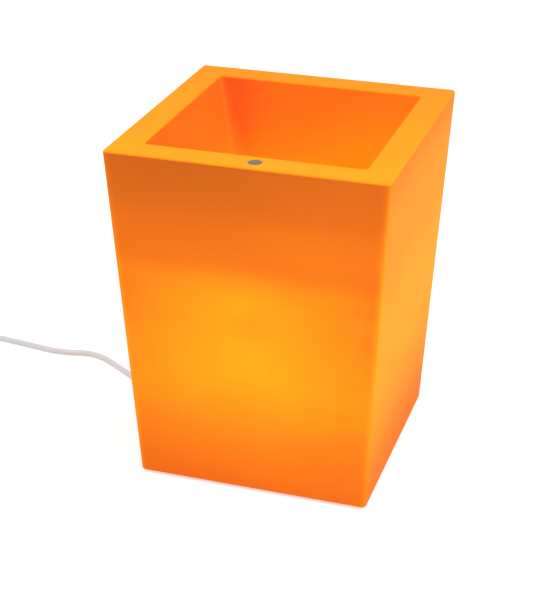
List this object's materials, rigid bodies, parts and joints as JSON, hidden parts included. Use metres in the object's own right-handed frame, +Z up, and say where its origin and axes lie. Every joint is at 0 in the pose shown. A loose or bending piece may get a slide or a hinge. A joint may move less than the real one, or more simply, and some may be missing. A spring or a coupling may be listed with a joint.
{
  "type": "lighted planter",
  "caption": "Square tapered floor planter in orange translucent plastic, double walled, with a lamp inside that lights it through the skin and a white mains lead.",
  "frame": {"origin": "on the floor under the middle of the pot", "axes": "+Z up, front face with the metal disc in its rim towards -Y, cord leaves towards -X"},
  "size_m": [0.6854, 0.318, 0.4],
  "materials": {
    "orange_plastic": "satin, lets light through, moulded in one colour",
    "disc_metal": "satin, plain",
    "foot_rubber": "matt",
    "gasket_foam": "closed-cell foam, matt",
    "cover_plastic": "fine grain, moulded",
    "insert_brass": "turned",
    "screw_steel": "zinc plated",
    "grommet_rubber": "matt, moulded",
    "clamp_plastic": "moulded",
    "cord_sheath": "smooth PVC, soft sheen",
    "bracket_steel": "zinc plated, pressed",
    "holder_plastic": "moulded, semi-gloss",
    "holder_ceramic": "unglazed",
    "contact_brass": "pressed",
    "live_insulation": "brown",
    "neutral_insulation": "blue",
    "cap_metal": "rolled thread, satin",
    "cap_glass": "fused, glossy black",
    "ballast_plastic": "moulded, semi-gloss",
    "lamp_glass": "white phosphor coating inside, lit",
    "switch_plastic": "moulded, semi-gloss",
    "rocker_plastic": "moulded, semi-gloss",
    "plug_plastic": "moulded on, satin",
    "pin_metal": "nickel plated"
  },
  "bodies": {
    "pot": {"planter_shell": "orange_plastic", "pot_base": "orange_plastic", "rim_disc": "disc_metal", "rubber_feet": "foot_rubber", "base_cover": "cover_plastic", "cover_gasket": "gasket_foam", "cover_inserts": "insert_brass", "cover_screws": "screw_steel", "cord_grommet": "grommet_rubber", "cord_clamp": "clamp_plastic", "clamp_screws": "screw_steel", "cord_tail": "cord_sheath", "holder_bracket": "bracket_steel", "bracket_screws": "screw_steel", "holder_nipple": "insert_brass", "nipple_nut": "screw_steel", "holder_dome": "holder_plastic", "holder_block": "holder_ceramic", "holder_skirt": "holder_plastic", "screw_shell": "contact_brass", "centre_contact": "contact_brass", "live_wire": "live_insulation", "neutral_wire": "neutral_insulation", "mains_cord": "cord_sheath", "switch_lower": "switch_plastic", "switch_upper": "switch_plastic", "switch_screws": "screw_steel", "switch_contacts": "contact_brass", "cord_to_coil": "cord_sheath", "cord_coil": "cord_sheath", "cord_to_plug": "cord_sheath", "plug_body": "plug_plastic", "plug_pins": "pin_metal"},
    "screw_cap": {"lamp_cap": "cap_metal", "cap_insulator": "cap_glass", "cap_tip": "contact_brass"},
    "lamp": {"ballast_housing": "ballast_plastic", "lamp_tubes": "lamp_glass"},
    "rocker": {"switch_rocker": "rocker_plastic"}
  },
  "joints": [
    {"name": "lamp_rise", "type": "slide", "parent": "pot", "child": "screw_cap", "axis": [0, 0, 1], "range_m": [0, 0.01816]},
    {"name": "lamp_turn", "type": "hinge", "parent": "screw_cap", "child": "lamp", "pos_m": [0, 0, 0.1], "axis": [0, 0, 1], "range_deg": [0, 1800]},
    {"name": "rocker_tilt", "type": "hinge", "parent": "pot", "child": "rocker", "pos_m": [-0.5166, -0.003, 0.0145], "axis": [1, 0, 0], "range_deg": [-14, 0]}
  ],
  "couplings": [
    {"joint": "lamp_rise", "follows": "lamp_turn", "m_per_rad": 0.00057757}
  ]
}
